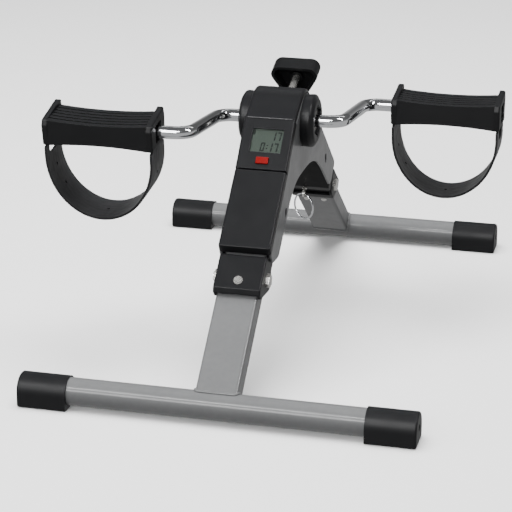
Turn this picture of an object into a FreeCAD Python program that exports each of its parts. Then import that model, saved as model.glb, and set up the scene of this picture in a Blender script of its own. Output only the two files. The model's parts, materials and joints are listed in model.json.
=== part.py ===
import FreeCAD, Part
import Sketcher
import math
import os

# Folding pedal exerciser. Millimetres, +Z up, user and display side towards -Y.
# Origin: on the floor, midway between the two feet and midway between the cap ends.
#
# Four local frames are used, each turned about X:
#   front limb  origin at the front leg's pivot, Y up the limb, Z out of its front face
#   rear limb   origin at the rear leg's pivot, Y down the leg, Z out of its upper face
#   display     origin at the foot of the display face, Y up the face, Z out of it
#   tension     origin at the crank axis, Y out along the tension screw

os.makedirs("parts", exist_ok=True)
doc = FreeCAD.newDocument("pedal_exerciser")
Vec = FreeCAD.Vector
X_AXIS = Vec(1, 0, 0)
Y_AXIS = Vec(0, 1, 0)
Z_AXIS = Vec(0, 0, 1)

SIZES = {
    # stance
    "foot_length": 356.0,
    "foot_offset": 244.0,
    "foot_rise": 14.2,
    "tube_dia": 25.0,
    "tube_wall": 1.5,
    "cap_length": 45.0,
    "cap_width": 30.5,
    "cap_rise": 28.0,
    "cap_end_wall": 5.0,
    # legs and the limbs of the head that they carry on
    "leg_width": 38.0,
    "leg_depth": 20.0,
    "leg_wall": 1.5,
    "leg_corner": 3.0,
    "front_angle": 40.5,
    "rear_angle": 38.0,
    "front_reach": 127.0,
    "rear_reach": 128.0,
    "limb_length": 112.0,
    "pivot_dia": 8.0,
    "pivot_bore": 8.16,
    # head
    "axis_y": -6.0,
    "axis_z": 205.0,
    "plate_gap": 44.0,
    "plate_thick": 2.0,
    "apex_radius": 25.6,
    "hood_radius": 29.4,
    "hood_wall": 3.4,
    "hood_front_turn": 117.4,
    "hood_rear_turn": 49.5,
    "boss_radius": 25.0,
    "boss_depth": 12.0,
    "boss_recess": 4.0,
    "bush_dia": 16.0,
    "bush_length": 11.2,
    "bush_flange": 1.2,
    # display face
    "display_angle": 46.8,
    "display_y": -83.9,
    "display_z": 179.1,
    "display_length": 52.0,
    "display_depth": 8.0,
    "window_width": 29.0,
    "window_rise": 24.0,
    "window_low": 17.4,
    "window_shift": 0.9,
    "button_width": 11.5,
    "button_rise": 6.3,
    "button_low": 5.6,
    "shell_wall": 2.2,
    # crank and pedals
    "rod_dia": 12.0,
    "rod_bore": 12.16,
    "crank_radius": 89.0,
    "crank_lift": 4.0,
    "inner_bend": 58.4,
    "outer_bend": 65.5,
    "bend_radius": 16.0,
    "spindle_end": 196.0,
    "drum_dia": 18.0,
    "pedal_centre": 145.4,
    "pedal_bar": 94.0,
    "pedal_width": 39.5,
    "pedal_rise": 24.6,
    "saddle_sag": 2.4,
    "flange_thick": 5.5,
    "strap_width": 40.0,
    "strap_thick": 2.3,
    "strap_inset": 1.1,
    "strap_drop": 84.0,
    "left_pitch": 6.0,
    "right_pitch": 1.0,
    # tension screw and knob
    "screw_angle": 18.2,
    "screw_dia": 7.0,
    "screw_bore": 7.12,
    "knob_start": 61.0,
    "knob_thick": 20.0,
    "knob_flat": 16.6,
    # pull ring
    "pull_ring_radius": 13.2,
    "pull_ring_wire": 1.8,
    "pull_ring_turn": -33.0,
}

sheet = doc.addObject("Spreadsheet::Sheet", "Sizes")
for row, (alias, value) in enumerate(SIZES.items(), start=1):
    sheet.set("A%d" % row, alias)
    sheet.set("B%d" % row, str(value))
    sheet.setAlias("B%d" % row, alias)
doc.recompute()

nodes = []


def size(alias):
    """A driving dimension, read back from the sheet."""
    return float(sheet.get(alias))


def turned(y, z, degrees, x=0.0):
    """A frame at (x, y, z), turned about X."""
    return FreeCAD.Placement(Vec(x, y, z), FreeCAD.Rotation(X_AXIS, degrees))


def polar(radius, degrees):
    """A (y, z) point at a radius and angle about the crank axis."""
    turn = math.radians(degrees)
    return size("axis_y") + radius * math.cos(turn), size("axis_z") + radius * math.sin(turn)


def in_frame(frame, y, z):
    """Where a frame's own (y, z) lies in the row's frame."""
    point = frame.multVec(Vec(0, y, z))
    return point.y, point.z


FRONT_TURN = math.radians(size("front_angle"))
REAR_TURN = math.radians(size("rear_angle"))
FRONT = turned(-size("foot_offset") + size("front_reach") * math.cos(FRONT_TURN),
               size("foot_rise") + size("front_reach") * math.sin(FRONT_TURN), size("front_angle"))
REAR = turned(size("foot_offset") - size("rear_reach") * math.cos(REAR_TURN),
              size("foot_rise") + size("rear_reach") * math.sin(REAR_TURN), -size("rear_angle"))
DISPLAY = turned(size("display_y"), size("display_z"), size("display_angle"))
TENSION = turned(size("axis_y"), size("axis_z"), size("screw_angle"))
AXLE = turned(size("axis_y"), size("axis_z"), 0)


# ---------------------------------------------------------------- building helpers

def node(item, label, placement=None):
    """Name a finished piece and place it."""
    item.Label = label
    if placement is not None:
        item.Placement = placement
    nodes.append(item)
    return item


def bind(item, bindings):
    """Tie properties of an object to cells of the sheet."""
    for name, expression in bindings.items():
        item.setExpression(name, expression)
    return item


def rounded(corners):
    """Lines and tangent arcs round a closed outline of (x, y, radius) corners."""
    shapes = []
    ends = []
    count = len(corners)
    for index in range(count):
        here = Vec(corners[index][0], corners[index][1], 0)
        before = Vec(corners[index - 1][0], corners[index - 1][1], 0)
        after = Vec(corners[(index + 1) % count][0], corners[(index + 1) % count][1], 0)
        radius = corners[index][2]
        back = (before - here).normalize()
        ahead = (after - here).normalize()
        if radius <= 0:
            ends.append((here, here))
            continue
        half = back.getAngle(ahead) / 2
        reach = radius / math.tan(half)
        start = here + back * reach
        stop = here + ahead * reach
        inward = (back + ahead).normalize()
        middle = here + inward * (radius / math.sin(half) - radius)
        shapes.append(Part.Arc(start, middle, stop))
        ends.append((start, stop))
    for index in range(count):
        start = ends[index][1]
        stop = ends[(index + 1) % count][0]
        if (stop - start).Length > 1e-6:
            shapes.append(Part.LineSegment(start, stop))
    return shapes


def box_corners(x_low, x_high, y_low, y_high, radius=0.0):
    """The four corners of an upright rectangle."""
    places = ((x_low, y_low), (x_high, y_low), (x_high, y_high), (x_low, y_high))
    return [place + (radius,) for place in places]


def new_body(name):
    """An empty body."""
    return doc.addObject("PartDesign::Body", name)


def sketch(body, plane, outlines=(), circles=(), offset=0.0):
    """A sketch on one of the body's own origin planes; circles are (x, y, diameter cell)."""
    item = body.newObject("Sketcher::SketchObject", body.Name + "_sketch")
    item.AttachmentSupport = [(next(f for f in body.Origin.OriginFeatures if f.Role == plane), "")]
    item.MapMode = "FlatFace"
    item.AttachmentOffset = FreeCAD.Placement(Vec(0, 0, offset), FreeCAD.Rotation())
    for outline in outlines:
        item.addGeometry(outline, False)
    for x, y, cell in circles:
        radius = size(cell) / 2 if isinstance(cell, str) else cell
        index = item.addGeometry(Part.Circle(Vec(x, y, 0), Z_AXIS, radius), False)
        if isinstance(cell, str):
            row = item.addConstraint(Sketcher.Constraint("Radius", index, radius))
            item.setExpression("Constraints[%d]" % row, "Sizes.%s / 2" % cell)
    return item


def pad(body, profile, length, middle=False, back=False):
    """Raise a sketch into a solid; length is an expression on the sheet's cells."""
    item = body.newObject("PartDesign::Pad", body.Name + "_pad")
    item.Profile = profile
    item.setExpression("Length", length)
    item.Midplane = middle
    item.Reversed = back
    return item


def pocket(body, profile, length, middle=False, back=False):
    """Cut a sketch out of a body, and make sure that it took something away."""
    doc.recompute()
    before = body.Shape.Volume
    item = body.newObject("PartDesign::Pocket", body.Name + "_pocket")
    item.Profile = profile
    item.setExpression("Length", length)
    item.Midplane = middle
    item.Reversed = back
    doc.recompute()
    if body.Shape.Volume >= before - 1e-3:
        raise RuntimeError("nothing was cut from " + body.Name)
    return item


def edges_where(shape, test):
    """Names of the edges whose middle point passes a test."""
    names = []
    for index, edge in enumerate(shape.Edges, start=1):
        middle = edge.valueAt((edge.FirstParameter + edge.LastParameter) / 2)
        if test(middle, edge):
            names.append("Edge%d" % index)
    return names


def round_edges(body, radius, test):
    """Fillet the edges of a body's last feature that pass a test in its own frame."""
    doc.recompute()
    source = body.Tip
    names = edges_where(source.Shape, test)
    item = body.newObject("PartDesign::Fillet", body.Name + "_fillet")
    item.Base = (source, names)
    item.Radius = radius
    doc.recompute()
    if not names or "Invalid" in item.State:
        raise RuntimeError("no rounding on %s: %d edges" % (body.Name, len(names)))
    return item


def block(name, low, spans, bindings=None):
    """A box from its low corner and its three spans."""
    item = doc.addObject("Part::Box", name)
    item.Length, item.Width, item.Height = spans
    item.Placement.Base = Vec(*low)
    return bind(item, bindings or {})


def rod(name, base, direction, radius, height, bindings=None):
    """A cylinder that starts at base and runs along direction."""
    item = doc.addObject("Part::Cylinder", name)
    item.Radius = radius
    item.Height = height
    item.Placement = FreeCAD.Placement(Vec(*base), FreeCAD.Rotation(Z_AXIS, direction))
    return bind(item, bindings or {})


def fused(name, pieces):
    """Several shapes as one."""
    item = doc.addObject("Part::MultiFuse", name)
    item.Shapes = pieces
    item.Refine = True
    return item


def cut(name, base, tools):
    """A shape less its cutters."""
    item = doc.addObject("Part::Cut", name)
    item.Base = base
    item.Tool = tools[0] if len(tools) == 1 else fused(name + "_tools", tools)
    return item


def ring(name, low_x, length, outer, inner, bindings_outer=None, bindings_inner=None):
    """A plain ring about the frame's X axis."""
    outside = rod(name + "_outside", (low_x, 0, 0), X_AXIS, outer, length, bindings_outer)
    inside = rod(name + "_inside", (low_x - 1, 0, 0), X_AXIS, inner, length + 2, bindings_inner)
    return cut(name, outside, [inside])


def hexagon(across_flats, low_x, height, name):
    """A hexagonal prism about X, from low_x."""
    item = doc.addObject("Part::Prism", name)
    item.Polygon = 6
    item.Circumradius = across_flats / math.sqrt(3)
    item.Height = height
    item.Placement = FreeCAD.Placement(Vec(low_x, 0, 0), FreeCAD.Rotation(Z_AXIS, X_AXIS))
    return item


# ---------------------------------------------------------------- head: plates and limbs

HALF_GAP = size("plate_gap") / 2
PLATE_FACE = HALF_GAP + size("plate_thick")
COVER_FACE = 21.0
COVER_BACK = 12.0
LIMB_START = 18.5
COVER_TOP = 100.5
REAR_LIMB_END = (-23.3, 16.3)
REAR_LIMB_HEEL = (-31.0, -12.0)
FRONT_LIMB_HEEL = (34.0, -16.0)
ARCH_TOP = 157.0
LIMB_TUBE_END = -15.2
PIN_X = -4.0
PIN_Y = -19.0
EYE_Z = -18.9
SCREW_X = 14.0
SCREW_Y = 24.0
SCREW_RADIUS = 1.5


def plate_outline():
    """The side plate: an inverted V with an arch between its two limbs."""
    apex_turn = (size("hood_front_turn") + size("hood_rear_turn")) / 2
    spread = math.radians((size("hood_front_turn") - size("hood_rear_turn")) / 2)
    apex = polar(size("apex_radius") / math.cos(spread), apex_turn)
    front_low = in_frame(FRONT, LIMB_START, COVER_BACK)
    front_toe = in_frame(FRONT, LIMB_START - 0.5, 0.0)
    front_bend = in_frame(FRONT, COVER_TOP, COVER_BACK)
    display_top = in_frame(DISPLAY, size("display_length") - 1.5, -size("display_depth"))
    rear_tip = in_frame(REAR, *REAR_LIMB_END)
    rear_heel = in_frame(REAR, *REAR_LIMB_HEEL)
    slope_rear = math.tan(math.radians(size("rear_angle")))
    slope_front = math.tan(math.radians(size("front_angle")))
    arch_rear = (rear_heel[0] - (ARCH_TOP - rear_heel[1]) / slope_rear, ARCH_TOP)
    front_heel = in_frame(FRONT, *FRONT_LIMB_HEEL)
    arch_front = (front_heel[0] + (ARCH_TOP - front_heel[1]) / slope_front, ARCH_TOP)
    return [front_low + (3,), front_bend + (12,), display_top + (6,), apex + (size("apex_radius"),),
            rear_tip + (5,), rear_heel + (7,), arch_rear + (118,), arch_front + (72,), front_heel + (12,),
            front_toe + (8,)]


def side_plate(label, low_x):
    """Pressed steel plate with the crank's bore and an oblong hole in each limb."""
    body = new_body(label + "_body")
    profile = sketch(body, "YZ_Plane", [rounded(plate_outline())],
                     [(size("axis_y"), size("axis_z"), "bush_dia")])
    pad(body, profile, "Sizes.plate_thick")
    slots = []
    for y, z in ((89.0, 138.3), (-84.0, 139.0)):
        slots.append(rounded(box_corners(y - 3.8, y + 3.8, z - 5, z + 5, 3.7)))
    pocket(body, sketch(body, "YZ_Plane", slots), "Sizes.plate_thick", back=True)
    node(body, label, turned(0, 0, 0, low_x))


def square_tube(label, frame, start, stop, cutters=()):
    """Rectangular leg tube along the frame's Y, with rounded edges."""
    body = new_body(label + "_body")
    half_width = size("leg_width") / 2
    half_depth = size("leg_depth") / 2
    wall = size("leg_wall")
    corner = size("leg_corner")
    outside = rounded(box_corners(-half_width, half_width, -half_depth, half_depth, corner))
    inside = rounded(box_corners(wall - half_width, half_width - wall, wall - half_depth, half_depth - wall,
                                 corner - wall))
    profile = sketch(body, "XZ_Plane", [outside, inside], offset=-start)
    pad(body, profile, "%s" % (stop - start), back=True)
    doc.recompute()
    if not cutters:
        return node(body, label, frame)
    return node(cut(label + "_cut", body, list(cutters)), label, frame)


def tail_frame():
    """Frame on the hood's rear flat: Y down the flat from the crest, Z out of it."""
    start = polar(size("hood_radius"), size("hood_rear_turn"))
    return turned(start[0], start[1], size("hood_rear_turn") - 90)


def hood_screw_holes(name):
    """Cutters for the two hood screws."""
    return [rod(name + "_screw_hole", (x, SCREW_Y, -8), Z_AXIS, SCREW_RADIUS, 12)
            for x in (-SCREW_X, SCREW_X)]


def head_plates_and_limbs():
    side_plate("right_side_plate", HALF_GAP)
    side_plate("left_side_plate", -PLATE_FACE)
    square_tube("front_limb_tube", FRONT, 13.5, 13.5 + size("limb_length") - 12)
    pin_hole = rod("rear_limb_pin_hole", (PIN_X, PIN_Y, -12), Z_AXIS, 2.7, 6)
    square_tube("rear_limb_tube", REAR, -11.0 - size("limb_length"), LIMB_TUBE_END, [pin_hole])
    web = block("front_web_box", (-HALF_GAP, 24, 10.1), (44, 72, 1.8), {"Length": "Sizes.plate_gap"})
    node(web, "front_web", FRONT.multiply(web.Placement))
    web = block("rear_web_box", (-HALF_GAP, 12, -5.4), (44, 138, 2), {"Length": "Sizes.plate_gap"})
    slot = block("rear_web_slot", (-8, 0, -8), (16, 34, 8))
    node(cut("rear_web_cut", web, [slot] + hood_screw_holes("web")), "rear_web", tail_frame())


# ---------------------------------------------------------------- head: covers

def hood_side(radius, seam_depth, tail):
    """Corners of one face of the hood, from the display seam over the crest to the tail."""
    spread = math.radians((size("hood_front_turn") - size("hood_rear_turn")) / 2)
    apex = polar(radius / math.cos(spread), (size("hood_front_turn") + size("hood_rear_turn")) / 2)
    start = polar(radius, size("hood_rear_turn"))
    end = in_frame(turned(start[0], start[1], size("hood_rear_turn") - 90), tail, 0)
    seam = in_frame(DISPLAY, size("display_length") + 0.6, -seam_depth)
    return seam, apex, end


def on_hood(point):
    """Whether a point lies on the hood's outer skin, seen from the side."""
    y = point.y - size("axis_y")
    z = point.z - size("axis_z")
    reaches = [math.hypot(y, z)]
    for alias in ("hood_front_turn", "hood_rear_turn"):
        turn = math.radians(size(alias))
        reaches.append(y * math.cos(turn) + z * math.sin(turn))
    return any(abs(reach - size("hood_radius")) < 0.01 for reach in reaches)


def head_cover():
    """Hood over the crank: a shell that follows the plates' apex."""
    body = new_body("head_cover_body")
    outer = size("hood_radius")
    inner = outer - size("hood_wall")
    seam, apex, end = hood_side(outer, 0.0, 34.0)
    seam_in, apex_in, end_in = hood_side(inner, 4.0, 34.0)
    corners = [seam + (0,), apex + (outer,), end + (0,), end_in + (0,), apex_in + (inner,), seam_in + (0,)]
    pad(body, sketch(body, "YZ_Plane", [rounded(corners)]), "2 * (Sizes.plate_gap / 2 + Sizes.plate_thick)",
        middle=True)
    doc.recompute()
    hole = rod("head_cover_hole", (0, 0, 0), Y_AXIS, 6.2, 60)
    hole.Placement = TENSION.multiply(hole.Placement)
    holes = hood_screw_holes("hood")
    for item in holes:
        item.Placement = tail_frame().multiply(item.Placement)
    round_edges(body, 3.0, lambda m, e: abs(abs(m.x) - PLATE_FACE) < 0.01 and on_hood(m) and e.Length > 10)
    node(cut("head_cover_cut", body, [hole] + holes), "head_cover")


def end_cover(label, side):
    """Domed cover over the crank bush, with a lobed recess round the rod."""
    body = new_body(label + "_body")
    radius = size("boss_radius")
    depth = size("boss_depth")
    floor = depth - size("boss_recess")
    bore = size("bush_dia") / 2 + 0.1
    corners = [(0, bore, 0), (0, radius - 0.6, 0), (depth - 3, radius, 3), (depth, radius - 5, 4),
               (depth, 13.5, 0.8), (floor, 12.5, 0.5), (floor, bore, 0)]
    profile = sketch(body, "XY_Plane", [rounded(corners)])
    turn = body.newObject("PartDesign::Revolution", label + "_turn")
    turn.Profile = profile
    turn.ReferenceAxis = (profile, ["H_Axis"])
    turn.Angle = 360
    doc.recompute()
    lobes = []
    for step in range(6):
        angle = math.radians(60 * step + 30)
        lobes.append((13.2 * math.cos(angle), 13.2 * math.sin(angle), 2.6))
    pocket(body, sketch(body, "YZ_Plane", circles=lobes, offset=depth - 3.2), "5", back=True)
    rotation = FreeCAD.Rotation(Z_AXIS, 0 if side > 0 else 180)
    node(body, label, FreeCAD.Placement(Vec(side * PLATE_FACE, size("axis_y"), size("axis_z")), rotation))


def front_cover():
    """Long slanted cover: a tray over the front limb, with a turned-in lower lip."""
    body = new_body("front_cover_body")
    corners = [(LIMB_START - 0.5, COVER_BACK + 1.2, 1), (LIMB_START + 1.8, COVER_FACE, 0.8),
               (COVER_TOP, COVER_FACE, 0), (COVER_TOP, COVER_BACK, 0), (LIMB_START + 1.5, COVER_BACK, 0.5)]
    pad(body, sketch(body, "YZ_Plane", [rounded(corners)]), "2 * (Sizes.plate_gap / 2 + Sizes.plate_thick)",
        middle=True)
    wall = size("shell_wall")
    inside = box_corners(LIMB_START + 1.8 + wall, COVER_TOP - wall, COVER_BACK - 1, COVER_FACE - wall)
    pocket(body, sketch(body, "YZ_Plane", [rounded(inside)]), "Sizes.plate_gap - 0.6", middle=True)
    round_edges(body, 2.0, lambda m, e: abs(abs(m.x) - PLATE_FACE) < 0.01 and m.z > COVER_FACE - 0.01)
    node(body, "front_cover", FRONT)


def display_housing():
    """Display frame with the window and the button's well."""
    body = new_body("display_housing_body")
    length = size("display_length")
    depth = size("display_depth")
    corners = box_corners(0.3, length, -depth, 0)
    pad(body, sketch(body, "YZ_Plane", [rounded(corners)]), "2 * (Sizes.plate_gap / 2 + Sizes.plate_thick)",
        middle=True)
    wall = size("shell_wall")
    inside = box_corners(0.3 + wall, length - wall, -depth - 1, -wall - 1.2)
    pocket(body, sketch(body, "YZ_Plane", [rounded(inside)]), "Sizes.plate_gap - 0.6", middle=True)
    low = size("window_low")
    half = size("window_width") / 2
    shift = size("window_shift")
    window = box_corners(shift - half, shift + half, low, low + size("window_rise"))
    half = size("button_width") / 2 + 0.35
    low = size("button_low") - 0.35
    well = box_corners(-half, half, low, low + size("button_rise") + 0.7, 1.0)
    openings = sketch(body, "XY_Plane", [rounded(window), rounded(well)], offset=-depth)
    pocket(body, openings, "Sizes.display_depth", back=True)
    round_edges(body, 2.0, lambda m, e: abs(abs(m.x) - PLATE_FACE) < 0.01 and abs(m.z) < 0.01)
    node(body, "display_housing", DISPLAY)


def display_parts():
    """Lens, panel, board, cell and the red button of the meter."""
    half = size("window_width") / 2
    shift = size("window_shift")
    low = size("window_low")
    lens = block("lens_box", (shift - half + 0.1, low + 0.1, -1.4), (28.8, 23.8, 1.0),
                 {"Length": "Sizes.window_width - 0.2", "Width": "Sizes.window_rise - 0.2"})
    node(lens, "display_lens", DISPLAY.multiply(lens.Placement))
    panel = block("panel_box", (shift - half + 0.1, low + 0.1, -3.2), (28.8, 23.8, 1.6),
                  {"Length": "Sizes.window_width - 0.2", "Width": "Sizes.window_rise - 0.2"})
    node(panel, "lcd_panel", DISPLAY.multiply(panel.Placement))
    board = block("board_box", (-19, 4, -6.6), (38, 43, 1.6))
    node(board, "display_board", DISPLAY.multiply(board.Placement))
    cell = rod("cell_body", (-9, 30, -12.2), Z_AXIS, 5.8, 5.4)
    node(cell, "button_cell", DISPLAY.multiply(cell.Placement))
    cap = block("button_cap", (-size("button_width") / 2, size("button_low"), -2.4), (11.5, 6.3, 3.6),
                {"Length": "Sizes.button_width", "Width": "Sizes.button_rise"})
    stem = block("button_stem", (-2, size("button_low") + 1.2, -3.4), (4, 4, 1.2))
    node(fused("button_shape", [cap, stem]), "reset_button", DISPLAY)


def speed_sensor():
    """Reed switch on a bracket beside the crank's magnet."""
    sensor = block("sensor_box", (10.0, -18.5, 5.0), (11.9, 4.0, 12.0))
    node(sensor, "speed_sensor", AXLE.multiply(sensor.Placement))


def crank_bush(label, side):
    """Flanged bush in a side plate's bore; its flange lies in the end cover's recess."""
    sleeve = rod(label + "_sleeve", (HALF_GAP, 0, 0), X_AXIS, 8, 11.2,
                 {"Radius": "Sizes.bush_dia / 2", "Height": "Sizes.bush_length"})
    floor = PLATE_FACE + size("boss_depth") - size("boss_recess")
    flange = rod(label + "_flange", (floor, 0, 0), X_AXIS, 11.4, 1.2, {"Height": "Sizes.bush_flange"})
    bore = rod(label + "_bore", (0, 0, 0), X_AXIS, 6.08, 60, {"Radius": "Sizes.rod_bore / 2"})
    rotation = FreeCAD.Rotation(Z_AXIS, 0 if side > 0 else 180)
    node(cut(label + "_cut", fused(label + "_solid", [sleeve, flange]), [bore]), label,
         FreeCAD.Placement(Vec(0, size("axis_y"), size("axis_z")), rotation))


def hood_screws():
    """Pair of pan-head screws that hold the hood's tail to the rear web."""
    pieces = []
    for x in (-SCREW_X, SCREW_X):
        head = rod("hood_screw_head", (x, SCREW_Y, 0), Z_AXIS, 3.2, 1.6)
        shank = rod("hood_screw_shank", (x, SCREW_Y, -6), Z_AXIS, SCREW_RADIUS, 6.4)
        slot = block("hood_screw_slot", (x - 4, SCREW_Y - 0.5, 0.8), (8, 1.0, 2))
        pieces.append(cut("hood_screw", fused("hood_screw_solid", [head, shank]), [slot]))
    node(fused("hood_screw_pair", pieces), "hood_screws", tail_frame())


def inner_cover():
    """Black panel that closes the arch's rear side, under the rear limb."""
    panel = block("inner_cover_panel", (-HALF_GAP + 0.2, -98, -12.4), (43.6, 73.6, 2.2))
    node(panel, "inner_cover", REAR.multiply(panel.Placement))


# ---------------------------------------------------------------- tension screw, knob and brake

def triangle(flat, corner):
    """A rounded triangle with one flat side up and its opposite corner down."""
    tip = 2 * flat
    points = []
    for step in range(3):
        angle = math.radians(150 + 120 * step)
        points.append((tip * math.cos(angle), tip * math.sin(angle), corner))
    return rounded(points)


def tension_parts():
    """Bracket across the plates, captive screw, hollow three-cornered knob, nut block and brake pad."""
    plate = block("bracket_plate", (-HALF_GAP, 21.0, -8), (44, 2.5, 16), {"Length": "Sizes.plate_gap"})
    bore = rod("bracket_bore", (0, 20, 0), Y_AXIS, 3.56, 5, {"Radius": "Sizes.screw_bore / 2"})
    node(cut("bracket_cut", plate, [bore]), "tension_bracket", TENSION)

    start = size("knob_start")
    shank = rod("screw_shank", (0, 15.5, 0), Y_AXIS, 3.5, 60, {"Radius": "Sizes.screw_dia / 2"})
    node(shank, "tension_screw", TENSION.multiply(shank.Placement))
    clips = [rod("clip", (0, low, 0), Y_AXIS, 5.6, 1.0) for low in (19.75, 23.75)]
    bore = rod("clip_bore", (0, 19, 0), Y_AXIS, 3.5, 8, {"Radius": "Sizes.screw_dia / 2"})
    node(cut("clip_cut", fused("clip_pair", clips), [bore]), "screw_clips", TENSION)

    body = new_body("knob_body")
    flat = size("knob_flat")
    pad(body, sketch(body, "XZ_Plane", [triangle(flat, 8.5)], offset=-start), "Sizes.knob_thick", back=True)
    hollow = sketch(body, "XZ_Plane", [triangle(flat - 2.8, 6.0)], [(0, 0, 6.2)], offset=-start)
    pocket(body, hollow, "12")
    socket = sketch(body, "XZ_Plane", circles=[(0, 0, "screw_dia")], offset=-start)
    pocket(body, socket, "14.5")
    nose = sketch(body, "XZ_Plane", circles=[(0, 0, 6.3)], offset=-start)
    pocket(body, nose, "9")
    back_plane = start + size("knob_thick")
    round_edges(body, 2.5, lambda m, e: abs(m.y - back_plane) < 0.01)
    node(body, "tension_knob", TENSION)

    carrier = block("carrier_box", (-9, 13.4, -7), (18, 6, 14))
    bore = rod("carrier_bore", (0, 15.0, 0), Y_AXIS, 3.56, 6, {"Radius": "Sizes.screw_bore / 2"})
    node(cut("carrier_cut", carrier, [bore]), "brake_carrier", TENSION)
    shoe = block("pad_box", (-7, 8.6, -6), (14, 4.8, 12))
    groove = rod("pad_groove", (-8, 0, 0), X_AXIS, 10.4, 16)
    node(cut("pad_cut", shoe, [groove]), "brake_pad", TENSION)


# ---------------------------------------------------------------- crank

def crank_point(x, radius):
    """A point of the crank's centre line; the left arm leads towards the user and slightly up."""
    lift = math.radians(180 - size("crank_lift"))
    side = 1 if x < 0 else -1
    reach = side * radius
    return Vec(x, size("axis_y") + reach * math.cos(lift), size("axis_z") + reach * math.sin(lift))


def bent_rod(points, bend, radius):
    """A round rod along straight runs joined by tangent bends."""
    runs = []
    last = points[0]
    for index in range(1, len(points) - 1):
        here = points[index]
        back = (points[index - 1] - here).normalize()
        ahead = (points[index + 1] - here).normalize()
        half = back.getAngle(ahead) / 2
        reach = bend / math.tan(half)
        start = here + back * reach
        stop = here + ahead * reach
        middle = here + (back + ahead).normalize() * (bend / math.sin(half) - bend)
        runs.append(Part.LineSegment(last, start).toShape())
        runs.append(Part.Arc(start, middle, stop).toShape())
        last = stop
    runs.append(Part.LineSegment(last, points[-1]).toShape())
    spine = Part.Wire(runs)
    section = Part.Wire([Part.Circle(points[0], (points[1] - points[0]).normalize(), radius).toShape()])
    return spine.makePipeShell([section], True, True)


def crank():
    """One-piece bent crank rod, its brake drum, magnet, pedal collars and end nuts."""
    path = []
    for side in (-1, 1):
        stations = [(size("spindle_end"), size("crank_radius")), (size("outer_bend"), size("crank_radius")),
                    (size("inner_bend"), 0.0)]
        row = [crank_point(side * x, radius) for x, radius in stations]
        path += row if side < 0 else row[::-1]
    item = doc.addObject("Part::Feature", "crank_rod_shape")
    item.Shape = bent_rod(path, size("bend_radius"), size("rod_dia") / 2)
    node(item, "crank_rod")

    drum = ring("drum_ring", -16, 32, 9, 6, {"Radius": "Sizes.drum_dia / 2"}, {"Radius": "Sizes.rod_dia / 2"})
    node(drum, "crank_drum", AXLE)
    magnet = block("magnet_box", (10.5, -12.0, -2.5), (4, 3.2, 5))
    round_cut = rod("magnet_seat", (9, 0, 0), X_AXIS, 9, 8, {"Radius": "Sizes.drum_dia / 2"})
    node(cut("magnet_cut", magnet, [round_cut]), "crank_magnet", AXLE)

    for side, name in ((-1, "left"), (1, "right")):
        centre = crank_point(side * size("outer_bend"), size("crank_radius"))
        frame = turned(centre.y, centre.z, 0)
        floor = size("pedal_bar") / 2 + size("flange_thick") - WELL_DEPTH
        inner = size("pedal_centre") - floor - 0.3 - 1.2
        outer = size("pedal_centre") + floor + 0.3
        collar = ring(name + "_collar", inner if side > 0 else -inner - 1.2, 1.2, 8.2, 6, None,
                      {"Radius": "Sizes.rod_dia / 2"})
        node(collar, name + "_pedal_washer", frame)
        clip = ring(name + "_clip", outer if side > 0 else -outer - 1.2, 1.2, 8.2, 6, None,
                    {"Radius": "Sizes.rod_dia / 2"})
        node(clip, name + "_pedal_clip", frame)


# ---------------------------------------------------------------- pedals

BAR_FRONT = -21.0
WELL_DEPTH = 4.6
TONGUE_TOP = -9.6
TONGUE_WIDTH = 32.0
FLANGE_FOOT = -13.2
STRAP_HOLES = (-72, -50, 0, 50, 72)


def pedal_bar(name):
    """Saddle-shaped bar with lengthwise grooves on its tread."""
    half = size("pedal_bar") / 2
    rise = size("pedal_rise") / 2
    sag = size("saddle_sag")
    curve = half * half / (2 * sag)
    bar = block(name + "_bar", (-half, BAR_FRONT, -rise), (94, 39.5, 24.6),
                {"Length": "Sizes.pedal_bar", "Width": "Sizes.pedal_width", "Height": "Sizes.pedal_rise"})
    tools = []
    for side in (-1, 1):
        tools.append(rod(name + "_saddle", (0, -30, side * (rise - sag + curve)), Y_AXIS, curve, 60))
    for step in range(-2, 3):
        low = BAR_FRONT + size("pedal_width") / 2 + 6.4 * step - 1.1
        tools.append(rod(name + "_groove", (0, low, rise - sag + curve), Y_AXIS, curve + 1.6, 2.2))
    return cut(name + "_saddled", bar, tools)


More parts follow.
